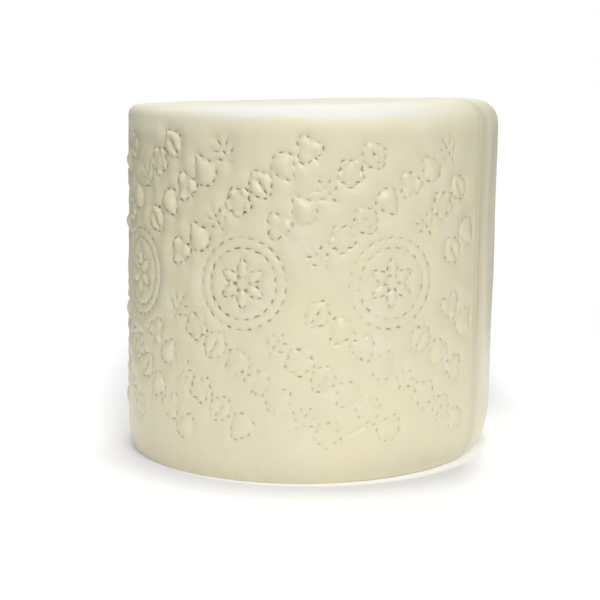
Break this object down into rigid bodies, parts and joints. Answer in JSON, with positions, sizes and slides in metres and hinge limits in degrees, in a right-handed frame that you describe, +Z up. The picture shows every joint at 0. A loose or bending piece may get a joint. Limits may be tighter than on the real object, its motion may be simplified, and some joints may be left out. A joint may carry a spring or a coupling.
{
  "type": "whole hard cheese drum",
  "caption": "Upright drum of hard white cheese with rounded edges and a pale rind pressed with dashed ornaments.",
  "frame": {"origin": "the middle of the drum's box, on the floor", "axes": "+Z up along the drum's axis, -Y towards the side seen in the picture, +X to its right"},
  "size_m": [0.3036, 0.301, 0.2815],
  "materials": {
    "rind": "pale ivory cheese rind, satin, slightly waxy"
  },
  "bodies": {
    "root": {"cheese_drum": "rind"}
  },
  "joints": []
}
